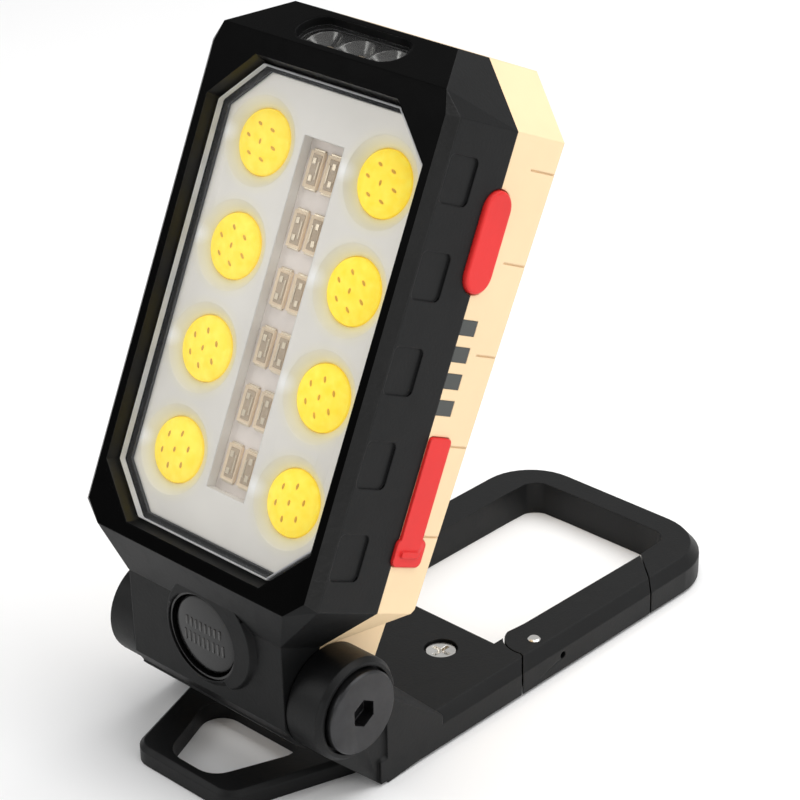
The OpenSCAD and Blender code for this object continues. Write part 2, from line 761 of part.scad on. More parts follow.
module bottom_cover() color("#2a2b2d") at_hinge() difference() {
  union() {
    linear_extrude(cover_t) cover_outline();
    for (x = [-1, 1]) translate([x * screw_x, screw_y, cover_t - eps]) cylinder(r = 2.8, h = 2.2);
  }
  translate([0, -hinge_y, -1]) cylinder(r = magnet_r + 1.3, h = 8);
  for (x = [-1, 1]) translate([x * screw_x, screw_y, 0.6]) cylinder(r = 1.25, h = 6);
}

module magnet_cup() color("#9a9da0") difference() {
  cylinder(r = magnet_r + 1.1, h = 5);
  translate([0, 0, -1]) cylinder(r = magnet_r + 0.1, h = 5);
}

module magnet() color("#85888b") cylinder(r = magnet_r, h = 3.9);

module base_screws() color("#c9cbcd") at_hinge() for (x = [-1, 1]) translate([x * screw_x, screw_y, 0]) {
  difference() {
    translate([0, 0, base_t - 2.3]) cylinder(r = 3, h = 1.7);
    translate([-2.1, -0.4, base_t - 1.5]) cube([4.2, 0.8, 2]);
    translate([-0.4, -2.1, base_t - 1.5]) cube([0.8, 4.2, 2]);
  }
  translate([0, 0, 0.8]) cylinder(r = 1.2, h = base_t - 3.1 + eps);
}

module hinge_bolt() color("#2b2c2e") at_hinge() translate([0, 0, hinge_z]) difference() {
  union() {
    rod(bolt_face - 2.8, bolt_face - 0.4, bolt_head_r);
    translate([bolt_face - 0.4 - eps, 0, 0]) rotate([0, 90, 0])
      cylinder(r1 = bolt_head_r, r2 = bolt_head_r - 0.35, h = 0.4 + eps);
    rod(2.95 - bolt_face, bolt_face - 2.8 + eps, bolt_r);
  }
  translate([bolt_face - 2.6, 0, 0]) rotate([0, 90, 0]) cylinder(d = socket_af / cos(30), h = 6, $fn = 6);
}

module hinge_nut() color("#2b2c2e") at_hinge() translate([0, 0, hinge_z]) difference() {
  rod(2.5 - bolt_face, 3.5 - bolt_face, bolt_head_r - 0.1);
  rod(2.9 - bolt_face, 4 - bolt_face, bolt_r + 0.05);
}

module spring_washer() color("#8f9295") at_hinge() translate([0, 0, hinge_z]) difference() {
  rod(bolt_face - 3.9, bolt_face - 2.85, 6.5);
  rod(bolt_face - 5, bolt_face, bolt_r + 0.3);
}

module friction_washers() color("#b79a5c") at_hinge() translate([0, 0, hinge_z]) both_sides() difference() {
  rod(neck_hw + 0.1, knuckle_x0 + 0.65, washer_r);
  rod(neck_hw - 1, knuckle_x0 + 2, bolt_r + 0.3);
}

// ---------------------------------------------------------------- gate

module gate() color("#303133") at_hinge() difference() {
  intersection() {
    base_slab();
    translate([0, 0, gate_low]) linear_extrude(base_t) gate_outline();
  }
  // Fork for the tongue
  translate([gate_x, gate_pivot, fork_low]) cylinder(r = 3.15, h = fork_high - fork_low);
  translate([gate_x - 20, gate_pivot - 20.6, fork_low]) cube([22.7, 20, fork_high - fork_low]);
  translate([gate_x, gate_pivot, -1]) cylinder(r = gate_pin_r + fit, h = 12);
  // Small hole for the spring's leg
  translate([base_hw - 1.6, gate_pivot + 3.8, 3.9]) rotate([0, 90, 0]) cylinder(r = 0.8, h = 5);
}

module gate_pin() color("#c9cbcd") at_hinge() translate([gate_x, gate_pivot, 0]) {
  translate([0, 0, gate_low + 0.1]) cylinder(r = gate_pin_r, h = base_t - gate_low);
  translate([0, 0, base_t + 0.05]) cylinder(r1 = gate_pin_r + 0.3, r2 = gate_pin_r - 0.1, h = 0.3);
}

module gate_spring() color("#a9acaf") at_hinge() translate([gate_x, gate_pivot, 0]) {
  for (i = [0, 1]) translate([0, 0, tongue_high - 1.15 + i * 0.7]) rotate_extrude()
    translate([1.75, 0]) circle(r = 0.25);
  translate([-1.75, 0, tongue_high - 1.15]) cylinder(r = 0.18, h = 0.7);
  translate([0, 1.75, tongue_high - 0.45]) rotate([-90, 0, 0]) cylinder(r = 0.18, h = 1.3);
}

front_housing();
rear_shell();
lens_gasket();
front_lens();
reflector_plate();
cob_chips();
warning_leds();
led_board();
torch_lens();
torch_reflector();
torch_leds();
battery_cell();
battery_tabs();
battery_cradle();
control_board();
indicator_leds();
indicator_windows();
usb_c_port();
usb_a_port();
usb_cover();
side_switch();
side_button();
power_bezel();
power_button();
power_switch();
housing_screws();
hinge_sleeve();
base_frame();
bottom_cover();
magnet_cup();
magnet();
base_screws();
hinge_bolt();
hinge_nut();
spring_washer();
friction_washers();
gate();
gate_pin();
gate_spring();
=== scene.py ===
"""Foldable rechargeable work light: its finished surfaces, stage and camera."""
import json
import math

import bmesh
import bpy
from bpy.props import FloatProperty, FloatVectorProperty, PointerProperty
from mathutils import Matrix, Vector


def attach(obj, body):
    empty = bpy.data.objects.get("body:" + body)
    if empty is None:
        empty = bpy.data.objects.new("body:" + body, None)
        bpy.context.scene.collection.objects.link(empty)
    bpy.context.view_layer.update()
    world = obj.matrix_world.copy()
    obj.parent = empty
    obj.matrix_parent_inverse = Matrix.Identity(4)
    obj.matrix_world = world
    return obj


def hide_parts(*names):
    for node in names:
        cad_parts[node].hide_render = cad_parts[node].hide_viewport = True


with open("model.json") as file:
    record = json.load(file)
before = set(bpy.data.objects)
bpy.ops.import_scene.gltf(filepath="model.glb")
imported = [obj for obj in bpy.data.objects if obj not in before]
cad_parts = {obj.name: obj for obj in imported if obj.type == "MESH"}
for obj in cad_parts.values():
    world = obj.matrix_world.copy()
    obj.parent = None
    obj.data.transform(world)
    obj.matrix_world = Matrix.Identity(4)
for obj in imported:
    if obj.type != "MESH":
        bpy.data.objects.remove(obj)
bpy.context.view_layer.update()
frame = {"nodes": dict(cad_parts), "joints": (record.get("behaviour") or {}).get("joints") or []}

bl_info = {
    "name": "Work Light",
    "version": (1, 0, 0),
    "blender": (4, 5, 0),
    "location": "View3D > Sidebar > Work Light",
    "description": "Builds the finished surfaces of a foldable work light round its packed model",
    "category": "Object",
}

MM = 0.001
JOINTS = {joint["name"]: joint for joint in frame["joints"]}
HINGE = Vector(JOINTS["head_tilt"]["pos_m"])
COVER_AXIS = JOINTS["usb_cover_open"]["axis"]
PRESS = Vector(JOINTS["power_button_press"]["axis"])
LEAN = math.atan2(COVER_AXIS[2], -COVER_AXIS[1])
# Head frame: x across, -y out of the lamp's face, z up the head, from the hinge
HEAD = Matrix.Translation(HINGE) @ Matrix.Rotation(-LEAN, 4, "X")
# Faces larger than this, in square metres, are plane walls and are shaded flat
FLAT_AREA = 90 * MM * MM
# Lamp chips and warning light packages: sizes in millimetres, and how many rows
CHIP_RADIUS = 6.2
CHIP_ROWS = 4
PACKAGE_ROWS = 6
# Where the chips' painted yellow glow, and the painted highlight beside each, start and stop fading, in
# metres
PAINTED_GLOW_REACH = (0.0058, 0.0108)
PAINTED_HIGHLIGHT_REACH = (0.0004, 0.0024)
PAINTED_HIGHLIGHT_OFFSET = 0.0088
# Where the finishes of the lamp's face change, in the head's frame and millimetres
FACE_DEPTH = 20.0
WALL_DEPTH = 17.5
WALL_HALF = 27.4
LAMP_SPAN = (20.0, 110.0)
LAMP_MIDDLE = 64.0
STRIP_DEPTH = 21.3
STRIP_HALF = 27.9


# ------------------------------------------------------------------ materials

class Value:
    """A shader socket that takes part in arithmetic."""

    def __init__(self, tree, socket):
        self.tree = tree
        self.socket = socket

    def _math(self, operation, *others, clamp=False):
        node = self.tree.nodes.new("ShaderNodeMath")
        node.operation = operation
        node.use_clamp = clamp
        for place, item in enumerate((self, *others)):
            feed(self.tree, node.inputs[place], item)
        return Value(self.tree, node.outputs[0])

    def __add__(self, other):
        return self._math("ADD", other)

    __radd__ = __add__

    def __mul__(self, other):
        return self._math("MULTIPLY", other)

    __rmul__ = __mul__

    def __sub__(self, other):
        return self._math("SUBTRACT", other)

    def __rsub__(self, other):
        return (self * -1.0) + other

    def __pow__(self, other):
        return self._math("POWER", other)

    def sign(self):
        return self._math("SIGN")

    def whole(self, low, high):
        """The nearest whole number, kept between two."""
        return self._math("ROUND")._math("MAXIMUM", low)._math("MINIMUM", high)

    def clamped(self):
        return self._math("ADD", 0.0, clamp=True)

    def ramp(self, low, high):
        """0 below low, 1 above high, straight between."""
        return ((self - low) * (1.0 / (high - low))).clamped()


def feed(tree, socket, item):
    if isinstance(item, Value):
        tree.links.new(item.socket, socket)
    elif isinstance(item, bpy.types.NodeSocket):
        tree.links.new(item, socket)
    else:
        socket.default_value = item


class Finish:
    """One material and the node tree behind it."""

    def __init__(self, name):
        self.material = bpy.data.materials.new(name)
        self.material.use_nodes = True
        self.tree = self.material.node_tree
        self.tree.nodes.clear()
        self.shader = self.tree.nodes.new("ShaderNodeBsdfPrincipled")
        output = self.tree.nodes.new("ShaderNodeOutputMaterial")
        self.tree.links.new(self.shader.outputs[0], output.inputs[0])
        self.place = self.node("ShaderNodeTexCoord").outputs["Object"]

    def node(self, kind, settings=None, inputs=None):
        made = self.tree.nodes.new(kind)
        for key, value in (settings or {}).items():
            setattr(made, key, value)
        for key, value in (inputs or {}).items():
            feed(self.tree, made.inputs[key], value)
        return made

    def value(self, node, output=0):
        return Value(self.tree, node.outputs[output])

    def noise(self, scale, detail=3.0, rough=0.55):
        made = self.node("ShaderNodeTexNoise", None, {
            "Vector": self.place, "Scale": scale, "Detail": detail, "Roughness": rough})
        return self.value(made, "Fac")

    def blend(self, mask, first, second):
        """Colour that goes from first to second as the mask goes from 0 to 1."""
        made = self.node("ShaderNodeMix", {"data_type": "RGBA"}, {0: mask, 6: first, 7: second})
        return made.outputs[2]

    def turned(self, matrix):
        """Object coordinates read in another frame, such as the head's."""
        inverse = matrix.inverted()
        return self.node("ShaderNodeMapping", None, {
            "Vector": self.place, "Location": inverse.translation,
            "Rotation": inverse.to_euler()}).outputs[0]

    def axes(self, vector):
        made = self.node("ShaderNodeSeparateXYZ", None, {0: vector})
        return [self.value(made, index) for index in range(3)]

    def rounded(self, radius):
        """Normal that runs softly over edges, and a mask of those edges."""
        soft = self.node("ShaderNodeBevel", {"samples": 4}, {"Radius": radius}).outputs[0]
        plain = self.node("ShaderNodeNewGeometry").outputs["Normal"]
        match = self.value(self.node("ShaderNodeVectorMath", {"operation": "DOT_PRODUCT"}, {
            0: soft, 1: plain}), "Value")
        return soft, (1.0 - match).ramp(0.02, 0.25)

    def relief(self, height, depth, normal=None):
        inputs = {"Height": height, "Strength": 1.0, "Distance": depth}
        if normal is not None:
            inputs["Normal"] = normal
        feed(self.tree, self.shader.inputs["Normal"], self.node("ShaderNodeBump", None, inputs).outputs[0])

    def set(self, **inputs):
        for key, value in inputs.items():
            feed(self.tree, self.shader.inputs[key.replace("_", " ")], value)


def rgba(colour, factor=1.0):
    return (colour[0] * factor, colour[1] * factor, colour[2] * factor, 1.0)


def moulded(name, colour, roughness, grain=1500.0, depth=0.00003, edge=0.0004, wear=1.6, level=0.5,
            mottle=0.12):
    """Moulded plastic or rubber: fine grain, uneven sheen and lighter, smoother edges."""
    finish = Finish(name)
    soft, edges = finish.rounded(edge)
    fine = finish.noise(grain, 4.0, 0.6)
    patches = finish.noise(55.0, 3.0)
    smears = finish.noise(190.0, 5.0, 0.65).ramp(0.45, 0.75)
    worn = (edges * finish.noise(420.0, 4.0).ramp(0.3, 0.7)).clamped()
    base = finish.blend(patches.ramp(0.35, 0.65), rgba(colour, 1.0 - mottle), rgba(colour, 1.0 + mottle))
    base = finish.blend(smears * 0.25, base, rgba(colour, 1.0 + 2.5 * mottle))
    base = finish.blend(worn * 0.6, base, rgba(colour, wear))
    finish.set(Base_Color=base, Specular_IOR_Level=level,
               Roughness=(patches - 0.5) * 0.12 + smears * 0.08 - worn * 0.1 + roughness)
    finish.relief(fine, depth, soft)
    return finish.material


def metal(name, colour, roughness, brush=900.0, depth=0.000008, edge=0.0002):
    """Plated or plain metal with fine tool lines, spots and polished edges."""
    finish = Finish(name)
    soft, edges = finish.rounded(edge)
    lines = finish.noise(brush, 3.0, 0.7)
    tarnish = finish.noise(160.0, 5.0, 0.6).ramp(0.4, 0.8)
    base = finish.blend(tarnish, rgba(colour), rgba(colour, 0.72))
    finish.set(Base_Color=base, Metallic=1.0,
               Roughness=tarnish * 0.15 + (lines - 0.5) * 0.12 - edges * 0.06 + roughness)
    finish.relief(lines, depth, soft)
    return finish.material


def clear(name, tint, alpha):
    """Clear plastic: nearly unseen face on, brighter at a slant, with a painted white highlight at its
    edges.
    """
    finish = Finish(name)
    slant = finish.value(finish.node("ShaderNodeFresnel", None, {"IOR": 1.5}))
    soft, edges = finish.rounded(0.00035)
    haze = finish.noise(240.0, 4.0).ramp(0.5, 0.9)
    # The edges are painted white: a painted highlight
    finish.set(Base_Color=finish.blend(edges, rgba(tint), (1.0, 1.0, 1.0, 1.0)),
               Roughness=haze * 0.1 + 0.04,
               Alpha=(slant * 0.06 + edges * 0.45 + haze * 0.01 + alpha).clamped(), Specular_IOR_Level=0.25)
    finish.relief(finish.noise(90.0, 2.0), 0.00001, soft)
    return finish.material


def lens_edge(name):
    """Bevelled rim of the clear lens, which gathers light and shows white."""
    finish = Finish(name)
    haze = finish.noise(300.0, 3.0)
    finish.set(Base_Color=finish.blend(haze, (0.86, 0.88, 0.9, 1.0), (1.0, 1.0, 1.0, 1.0)),
               Roughness=haze * 0.15 + 0.12, Alpha=haze * 0.2 + 0.6)
    finish.relief(haze, 0.00001)
    return finish.material


def chip_grid():
    """Half the spacing of the chip columns, the lowest row's height, the row pitch and the chips' back."""
    verts = [HEAD.inverted() @ v.co for v in frame["nodes"]["cob_chips"].data.vertices]
    half = max(v.x for v in verts) - CHIP_RADIUS * MM
    low = min(v.z for v in verts) + CHIP_RADIUS * MM
    high = max(v.z for v in verts) - CHIP_RADIUS * MM
    return half, low, (high - low) / (CHIP_ROWS - 1), max(v.y for v in verts)


def lamp_plate(name, colour):
    """Satin plated reflector with faint clouding, with a painted yellow glow and a painted highlight round
    each chip.
    """
    finish = Finish(name)
    half, lowest, pitch, _ = chip_grid()
    across, _, along = finish.axes(finish.turned(HEAD))
    from_column = across - across.sign() * half
    row = (along - lowest) * (1.0 / pitch)
    from_row = (row - row.whole(0.0, CHIP_ROWS - 1.0)) * pitch
    # Painted glow: a yellow halo of bounced chip light, painted round each chip
    painted_glow = 1.0 - ((from_column ** 2.0 + from_row ** 2.0) ** 0.5).ramp(*PAINTED_GLOW_REACH)
    # Painted highlight: a bright spot painted beside each chip, where its cup reflects light
    from_painted_highlight = from_column + PAINTED_HIGHLIGHT_OFFSET
    painted_highlight = 1.0 - ((from_painted_highlight ** 2.0 + from_row ** 2.0) ** 0.5).ramp(*PAINTED_HIGHLIGHT_REACH)
    soft, edges = finish.rounded(0.0004)
    clouds = finish.noise(60.0, 4.0)
    fine = finish.noise(2200.0, 2.0)
    base = finish.blend(clouds.ramp(0.3, 0.7), rgba(colour, 0.93), rgba(colour, 1.05))
    # The painted glow, then the painted highlight, are mixed into the plate's colour
    base = finish.blend(painted_glow * painted_glow * 0.6, base, (0.95, 0.84, 0.22, 1.0))
    base = finish.blend(painted_highlight * 0.85, base, (1.0, 1.0, 0.98, 1.0))
    finish.set(Base_Color=finish.blend(edges * 0.3, base, (0.95, 0.95, 0.92, 1.0)), Metallic=0.08,
               Roughness=(clouds - 0.5) * 0.15 + edges * 0.05 + 0.36)
    finish.relief(fine, 0.000004, soft)
    return finish.material


def phosphor(name, colour):
    """Yellow gel over light chips, paler where it is thick, with a faint painted glow from emission."""
    finish = Finish(name)
    mottle = finish.noise(520.0, 4.0)
    # The faint emission is a painted glow; the chips themselves are not switched on
    finish.set(Base_Color=finish.blend(mottle.ramp(0.3, 0.75), rgba(colour), rgba((1.0, 0.86, 0.10))),
               Roughness=(mottle - 0.5) * 0.2 + 0.5, Specular_IOR_Level=0.2,
               Emission_Color=rgba(colour), Emission_Strength=0.3)
    finish.relief(mottle, 0.00004)
    return finish.material


def floor_finish(name):
    finish = Finish(name)
    faint = finish.noise(6.0, 3.0)
    finish.set(Base_Color=finish.blend(faint, (0.93, 0.93, 0.93, 1.0), (0.96, 0.96, 0.96, 1.0)),
               Roughness=(faint - 0.5) * 0.1 + 0.85, Specular_IOR_Level=0.1)
    finish.relief(faint, 0.00002)
    return finish.material


# ------------------------------------------------------------------ modelling

def merged(node, angle=0.6):
    """A CAD node's skin as one joined mesh, with its flat faces made whole."""
    bm = bmesh.new()
    bm.from_mesh(frame["nodes"][node].data)
    bmesh.ops.remove_doubles(bm, verts=bm.verts, dist=2e-6)
    bmesh.ops.dissolve_limit(bm, angle_limit=math.radians(angle), verts=bm.verts, edges=bm.edges)
    return bm


def soften(bm, width, segments=2, over=28.0, longer=None, keep=None):
    """Bevels the edges sharper than an angle and longer than a length."""
    longer = 2.4 * width if longer is None else longer
    chosen = [edge for edge in bm.edges
              if len(edge.link_faces) == 2 and edge.calc_length() > longer
              and edge.calc_face_angle(0.0) > math.radians(over) and (keep is None or keep(edge))]
    bmesh.ops.bevel(bm, geom=chosen, offset=width, offset_type="OFFSET", segments=segments, profile=0.5,
                    affect="EDGES", clamp_overlap=True, material=-1)


def place(name, bm, body, slot, material, nodes=(), matrix=None, sharp=32.0, regions=()):
    """Makes a finished piece from a bmesh, and says what it rides on; the slot it stands for is not used.

    Each region is a second material and a test of a face's middle and normal."""
    if matrix is not None:
        bmesh.ops.transform(bm, matrix=matrix, verts=bm.verts)
    bm.normal_update()
    for face in bm.faces:
        face.material_index = 0
        for number, (_, test) in enumerate(regions, 1):
            if test(face.calc_center_median(), face.normal):
                face.material_index = number
    mesh = bpy.data.meshes.new(name)
    bm.to_mesh(mesh)
    bm.free()
    for each in (material, *(extra for extra, _ in regions)):
        mesh.materials.append(each)
    mesh.shade_smooth()
    mesh.set_sharp_from_angle(angle=math.radians(sharp))
    for polygon in mesh.polygons:
        if polygon.area > FLAT_AREA:
            polygon.use_smooth = False
    piece = bpy.data.objects.new(name, mesh)
    bpy.context.scene.collection.objects.link(piece)
    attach(piece, body)
    if nodes:
        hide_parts(*nodes)
    return piece


def skin(node, name, body, slot, material, sharp=20.0, regions=()):
    """A CAD node carried over as a joined, smoothly shaded piece."""
    return place(name, merged(node), body, slot, material, [node], None, sharp, regions)


def in_head(test):
    """A region's test, read in the head's own frame and in millimetres."""
    inverse = HEAD.inverted()
    turn = inverse.to_3x3()
    return lambda middle, normal: test(inverse @ middle / MM, turn @ normal)


def on_bezel(middle, normal):
    """The bezel's flat face, and the slope over it that holds the torch."""
    flat = normal.y < -0.9 and middle.y < -FACE_DEPTH
    return flat or (normal.y < -0.3 and normal.z > 0.3)


def on_window_wall(middle, normal):
    """The walls round the lens, which face the lamp's middle."""
    inward = normal.x * middle.x + normal.z * (middle.z - LAMP_MIDDLE) < 0
    beside_lens = abs(middle.x) < WALL_HALF and LAMP_SPAN[0] < middle.z < LAMP_SPAN[1]
    return inward and beside_lens and abs(normal.y) < 0.9 and middle.y < -WALL_DEPTH


def on_bezel_strip(middle, normal):
    """The narrow bevels at the bezel's two long edges."""
    return middle.y < -STRIP_DEPTH and abs(normal.x) > 0.5 and abs(middle.x) > STRIP_HALF


def on_lens_rim(middle, normal):
    """The lens's edge and its bevels."""
    return abs(normal.y) < 0.96 and middle.y < -FACE_DEPTH


def coat(node, material):
    """Gives a CAD node its material."""
    mesh = frame["nodes"][node].data
    mesh.materials.clear()
    mesh.materials.append(material)


def lathe(bm, profile, steps):
    """Turns (radius, height) points round Z and closes the result."""
    rim = [bm.verts.new((radius, 0.0, height)) for radius, height in profile]
    edges = [bm.edges.new(pair) for pair in zip(rim, rim[1:])]
    bmesh.ops.spin(bm, geom=rim + edges, cent=(0, 0, 0), axis=(0, 0, 1), dvec=(0, 0, 0),
                   angle=math.tau, steps=steps, use_merge=True)


def turned_piece(profile, steps=48, matrices=(Matrix.Identity(4),)):
    """One lathe-turned shape, repeated at each matrix."""
    whole = bmesh.new()
    for matrix in matrices:
        part = bmesh.new()
        lathe(part, [(r * MM, h * MM) for r, h in profile], steps)
        bmesh.ops.remove_doubles(part, verts=part.verts, dist=1e-6)
        bmesh.ops.recalc_face_normals(part, faces=part.faces)
        bmesh.ops.transform(part, matrix=matrix, verts=part.verts)
        scrap = bpy.data.meshes.new("scrap")
        part.to_mesh(scrap)
        part.free()
        whole.from_mesh(scrap)
        bpy.data.meshes.remove(scrap)
    return whole


def block(bm, size, centre, bevel=0.0, segments=2, inset=0.0, sink=0.0):
    """A box in millimetres with rounded edges and, if asked, a sunk upper face."""
    made = bmesh.ops.create_cube(bm, size=1.0)
    verts = made["verts"]
    bmesh.ops.scale(bm, vec=Vector(size) * MM, verts=verts)
    bmesh.ops.translate(bm, vec=Vector(centre) * MM, verts=verts)
    faces = {face for vert in verts for face in vert.link_faces}
    if inset:
        top = max(faces, key=lambda face: face.calc_center_median().z)
        bmesh.ops.inset_region(bm, faces=[top], thickness=inset * MM, depth=0.0)
        bmesh.ops.translate(bm, vec=(0, 0, -sink * MM), verts=top.verts)
    if bevel:
        edges = {edge for face in faces for edge in face.edges
                 if edge.calc_face_angle(0.0) > 0.5}
        bmesh.ops.bevel(bm, geom=list(edges), offset=bevel * MM, offset_type="OFFSET", segments=segments,
                        profile=0.5, affect="EDGES", clamp_overlap=True, material=-1)


# ------------------------------------------------------------------ sizes and colours

class WORKLIGHT_PG_finish(bpy.types.PropertyGroup):
    """Colours and surface of the light."""
    shell_black: FloatVectorProperty(
        name="Black shells", description="Colour of the black plastic", subtype="COLOR",
        default=(0.0048, 0.0050, 0.0052))
    shell_cream: FloatVectorProperty(
        name="Cream shell", description="Colour of the rear shell", subtype="COLOR",
        default=(0.88, 0.66, 0.40))
    red: FloatVectorProperty(
        name="Red rubber", description="Colour of the side button and port cover", subtype="COLOR",
        default=(0.74, 0.026, 0.024))
    plate: FloatVectorProperty(
        name="Reflector", description="Colour of the plated reflector", subtype="COLOR",
        default=(0.80, 0.77, 0.71))
    gel: FloatVectorProperty(
        name="Lamp gel", description="Colour of the gel over the lamp chips", subtype="COLOR",
        default=(1.0, 0.72, 0.02))
    edge: FloatProperty(
        name="Edge rounding", description="Radius of the soft edges", default=0.0004, unit="LENGTH")


class WORKLIGHT_PG_stage(bpy.types.PropertyGroup):
    """Camera and light."""
    azimuth: FloatProperty(
        name="Azimuth", description="Camera's direction round the light", subtype="ANGLE",
        default=math.radians(43.67))
    elevation: FloatProperty(
        name="Elevation", description="Camera's height angle", subtype="ANGLE",
        default=math.radians(27.24))
    roll: FloatProperty(
        name="Roll", description="Camera's turn about its own axis", subtype="ANGLE",
        default=math.radians(-0.95))
    distance: FloatProperty(
        name="Distance", description="Camera's distance from the aim", default=0.4891, unit="LENGTH")
    aim_side: FloatProperty(
        name="Aim side", description="Aim to the right of the hinge", default=0.02943, unit="LENGTH")
    aim_up: FloatProperty(
        name="Aim up", description="Aim above the floor", default=0.06553, unit="LENGTH")
    lens: FloatProperty(name="Lens", description="Focal length in millimetres", default=114.46)
    key: FloatProperty(name="Key light", description="Power of the overhead light in watts", default=6.0)
    side: FloatProperty(
        name="Side light", description="Power of the light on the button side in watts", default=1.4)
    sky: FloatProperty(name="Sky", description="Strength of the even light all round", default=0.5)


def finishes():
    return bpy.context.scene.worklight_finish


MATERIALS = {}


def material(name):
    """Makes each finish once, the first time that a piece asks for it."""
    if name not in MATERIALS:
        MATERIALS[name] = RECIPES[name](name)
    return MATERIALS[name]


RECIPES = {
    "black_shell": lambda n: moulded(
        n, finishes().shell_black, 0.42,
        grain=1500.0, depth=0.00003, edge=finishes().edge, wear=3.0, level=0.15),
    "black_gloss": lambda n: moulded(
        n, (0.003, 0.003, 0.003), 0.2, grain=2500.0, depth=0.000006, edge=0.0002, wear=4.0, level=0.45),
    "base_black": lambda n: moulded(
        n, (0.0048, 0.0050, 0.0052), 0.45,
        grain=1700.0, depth=0.000035, edge=finishes().edge, wear=3.2, level=0.22),
    "cream_shell": lambda n: moulded(
        n, finishes().shell_cream, 0.42,
        grain=1800.0, depth=0.00002, edge=finishes().edge, wear=1.05, level=0.4, mottle=0.025),
    "red_rubber": lambda n: moulded(
        n, finishes().red, 0.38,
        grain=1200.0, depth=0.00003, edge=0.0005, wear=1.2, level=0.25, mottle=0.05),
    "rib": lambda n: moulded(
        n, (0.03, 0.029, 0.028), 0.22, grain=1800.0, depth=0.00001, edge=0.0002, wear=2.2, level=0.6),
    "black_rubber": lambda n: moulded(
        n, (0.012, 0.012, 0.012), 0.6, grain=1500.0, depth=0.00003, edge=0.0002, wear=1.5, level=0.3),
    "bezel_gloss": lambda n: moulded(
        n, (0.0015, 0.0015, 0.0015), 0.22,
        grain=1300.0, depth=0.00001, edge=finishes().edge, wear=5.0, level=0.02),
    "window_wall": lambda n: moulded(
        n, (0.003, 0.003, 0.003), 0.3, grain=1100.0, depth=0.00002, edge=0.0003, wear=4.0, level=0.3),
    "grained_strip": lambda n: moulded(
        n, (0.006, 0.006, 0.0058), 0.38, grain=750.0, depth=0.00016, edge=0.0003, wear=4.0, level=0.4),
    "lens_edge": lens_edge,
    "smoked": lambda n: moulded(
        n, (0.04, 0.044, 0.04), 0.3, grain=900.0, depth=0.00001, edge=0.0002, wear=1.4, level=0.5),
    "clear": lambda n: clear(n, (0.9, 0.93, 0.96), 0.01),
    "dark_clear": lambda n: clear(n, (0.02, 0.02, 0.02), 0.3),
    "plate": lambda n: lamp_plate(n, finishes().plate),
    "cup": lambda n: metal(n, (0.55, 0.55, 0.53), 0.16, brush=700.0, depth=0.00001, edge=0.0002),
    "gel": lambda n: phosphor(n, finishes().gel),
    "gel_dot": lambda n: moulded(
        n, (0.78, 0.42, 0.01), 0.4, grain=900.0, depth=0.00001, edge=0.0001, wear=1.2, level=0.4),
    "package": lambda n: moulded(
        n, (0.82, 0.67, 0.48), 0.4, grain=2200.0, depth=0.00003, edge=0.0001, wear=1.3, level=0.3),
    "package_gel": lambda n: moulded(
        n, (0.46, 0.36, 0.25), 0.25, grain=1600.0, depth=0.00004, edge=0.0001, wear=1.3, level=0.4),
    "bond": lambda n: metal(n, (0.78, 0.68, 0.52), 0.3),
    "board_white": lambda n: moulded(
        n, (0.78, 0.71, 0.65), 0.45, grain=1400.0, depth=0.00002, edge=0.0001, wear=1.1, level=0.4),
    "board_green": lambda n: moulded(
        n, (0.02, 0.16, 0.07), 0.35, grain=900.0, depth=0.00002, edge=0.0001, wear=1.3, level=0.5),
    "sleeve": lambda n: moulded(
        n, (0.03, 0.16, 0.42), 0.3, grain=500.0, depth=0.00002, edge=0.0003, wear=1.3, level=0.5),
    "inner_black": lambda n: moulded(
        n, (0.03, 0.03, 0.03), 0.55, grain=1200.0, depth=0.00003, edge=0.0003, wear=1.4, level=0.4),
    "bright_steel": lambda n: metal(n, (0.92, 0.90, 0.86), 0.16),
    "dark_steel": lambda n: metal(n, (0.06, 0.06, 0.062), 0.36, brush=1300.0, depth=0.00001, edge=0.0003),
    "plain_steel": lambda n: metal(n, (0.55, 0.55, 0.56), 0.35),
    "magnet_metal": lambda n: metal(n, (0.70, 0.69, 0.67), 0.22, brush=500.0),
    "bronze": lambda n: metal(n, (0.62, 0.44, 0.20), 0.35),
}


# ------------------------------------------------------------------ operators

